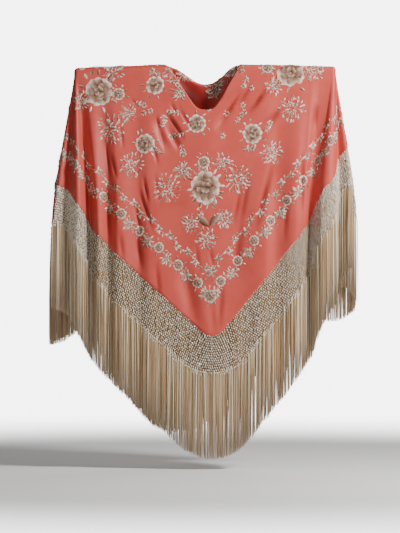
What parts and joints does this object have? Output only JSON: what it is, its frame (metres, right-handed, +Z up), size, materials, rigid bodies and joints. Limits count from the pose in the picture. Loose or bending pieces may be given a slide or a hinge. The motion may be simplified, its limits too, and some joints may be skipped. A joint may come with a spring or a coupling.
{
  "type": "manila shawl",
  "caption": "Square embroidered silk shawl with a knotted net and long fringe, draped hollow, point down at the front, over arms held out level.",
  "frame": {"origin": "middle of the span, at the height where the arms carry the cloth, halfway through its depth", "axes": "+X along the arms towards the right end as seen from the front, +Y towards the back, +Z up"},
  "size_m": [1.1082, 0.2682, 1.4189],
  "materials": {
    "silk": "crepe satin silk, coral pink",
    "net": "knotted silk cord, ivory and tan",
    "fringe": "twisted silk strands, ivory and tan",
    "embroidery": "satin stitch in ivory and tan silk floss"
  },
  "bodies": {
    "root": {"shawl_front": "silk", "shawl_right_end": "silk", "shawl_back": "silk", "shawl_left_end": "silk", "net_front": "net", "net_right_end": "net", "net_back": "net", "net_left_end": "net", "fringe_front": "fringe", "fringe_right_end": "fringe", "fringe_back": "fringe", "fringe_left_end": "fringe"}
  },
  "joints": []
}
